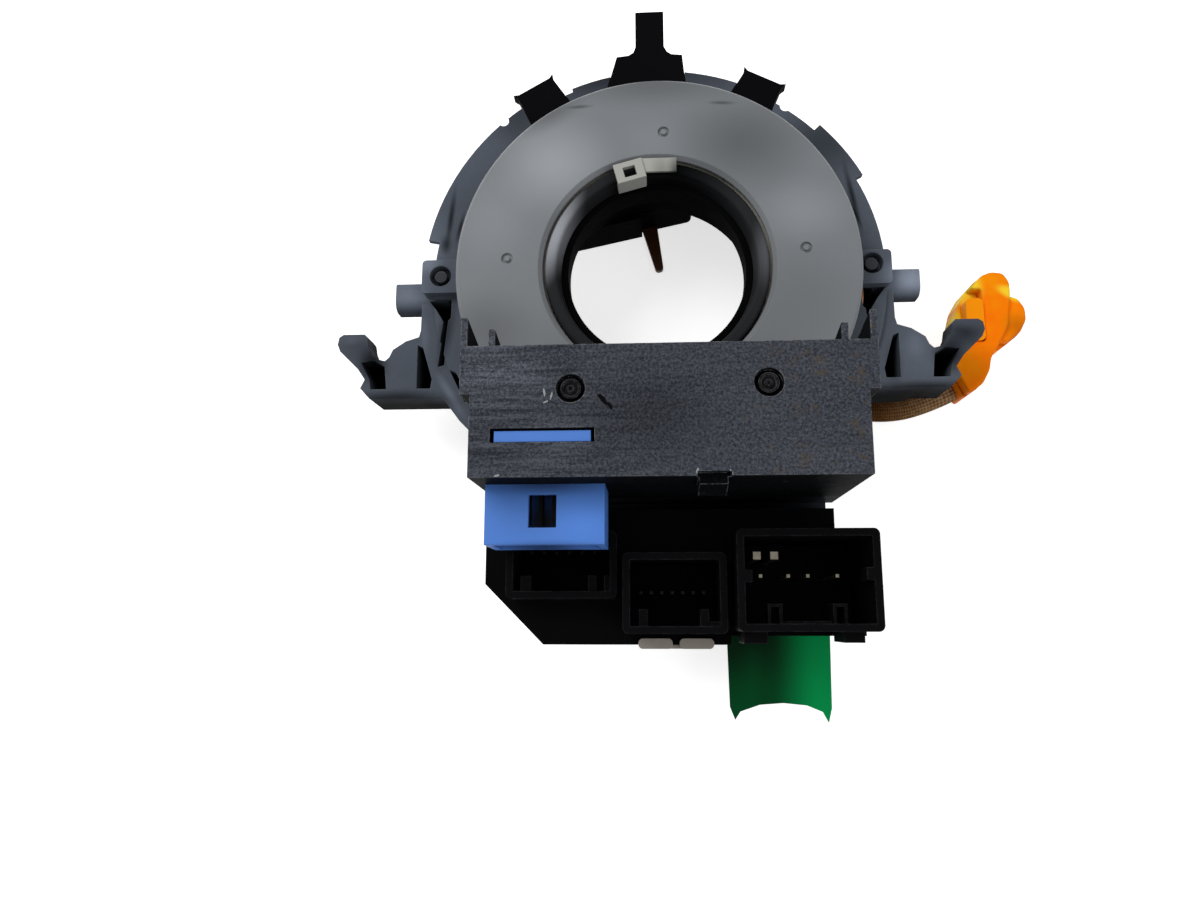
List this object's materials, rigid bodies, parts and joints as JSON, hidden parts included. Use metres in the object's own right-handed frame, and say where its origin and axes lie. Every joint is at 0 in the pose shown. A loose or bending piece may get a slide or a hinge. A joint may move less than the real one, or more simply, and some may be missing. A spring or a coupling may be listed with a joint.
{
  "type": "steering clock spring",
  "caption": "Rotary connector that carries circuits from a steering column to its turning wheel, with a gear-driven angle sensor box and harness sockets.",
  "frame": {"origin": "on the steering axis, in the middle of the bore land", "axes": "+Z along the steering axis towards the column (rear); +X to the right and +Y up, seen from the rear"},
  "size_m": [0.1651, 0.1697, 0.067],
  "materials": {
    "grey_housing": "moulded charcoal plastic, satin",
    "grey_cover": "moulded grey plastic, satin",
    "grey_sleeve": "moulded grey plastic, satin",
    "black_housing": "moulded black plastic",
    "black_box": "fine-grained black plastic with worn edges",
    "black_connector": "smooth black plastic",
    "black_rotor": "moulded black plastic",
    "gear_plastic": "natural acetal",
    "pale_plastic": "cream moulded plastic",
    "blue_plastic": "blue moulded plastic",
    "green_film": "green insulating film",
    "orange_plastic": "orange moulded plastic",
    "yellow_plastic": "yellow moulded plastic",
    "brown_contact": "amber-brown plastic",
    "lead_sleeve": "tan woven sleeve",
    "cable_film": "copper film ribbon",
    "circuit_board": "green circuit board",
    "pin_metal": "tinned brass",
    "magnet": "plated magnet"
  },
  "bodies": {
    "stator": {"front_case": "black_housing", "stator_housing": "grey_housing", "lug_rivets": "black_housing", "back_cover": "grey_cover", "ribbon_cable": "cable_film", "cable_outer_terminal": "black_housing", "sensor_box": "black_box", "box_base": "black_box", "sensor_board": "circuit_board", "box_stakes": "black_box", "blue_connector": "blue_plastic", "blue_connector_pins": "pin_metal", "connector_block": "black_connector", "left_socket_pins": "pin_metal", "middle_socket_pins": "pin_metal", "right_socket_pins": "pin_metal", "green_tab": "green_film", "pale_connector": "pale_plastic"},
    "rotor": {"rotor_hub": "black_rotor", "rotor_sleeve": "grey_sleeve", "sensor_drive_gear": "gear_plastic", "index_clip": "pale_plastic", "connector_tower": "black_rotor", "tower_pins": "pin_metal", "contact_tongue": "brown_contact", "lead_gland": "black_rotor", "airbag_lead": "lead_sleeve", "airbag_plug": "orange_plastic", "cable_inner_terminal": "black_housing"},
    "gear_a": {"measuring_gear_a": "gear_plastic", "magnet_a": "magnet"},
    "gear_b": {"measuring_gear_b": "gear_plastic", "magnet_b": "magnet"},
    "plug_lock": {"plug_lock": "yellow_plastic"}
  },
  "joints": [
    {"name": "rotor_spin", "type": "hinge", "parent": "stator", "child": "rotor", "pos_m": [0, 0, 0], "axis": [0, 0, 1], "range_deg": [-900, 900]},
    {"name": "gear_a_spin", "type": "hinge", "parent": "stator", "child": "gear_a", "pos_m": [-0.01519, -0.03153, 0.003], "axis": [0, 0, 1], "range_deg": [-3605, 3605]},
    {"name": "gear_b_spin", "type": "hinge", "parent": "stator", "child": "gear_b", "pos_m": [0.01497, -0.03108, 0.003], "axis": [0, 0, 1], "range_deg": [-3882, 3882]},
    {"name": "plug_lock_slide", "type": "slide", "parent": "rotor", "child": "plug_lock", "axis": [0, 1, 0], "range_m": [0, 0.0025]}
  ],
  "couplings": [
    {"joint": "gear_a_spin", "follows": "rotor_spin", "ratio": -4},
    {"joint": "gear_b_spin", "follows": "rotor_spin", "ratio": -4.3077}
  ]
}
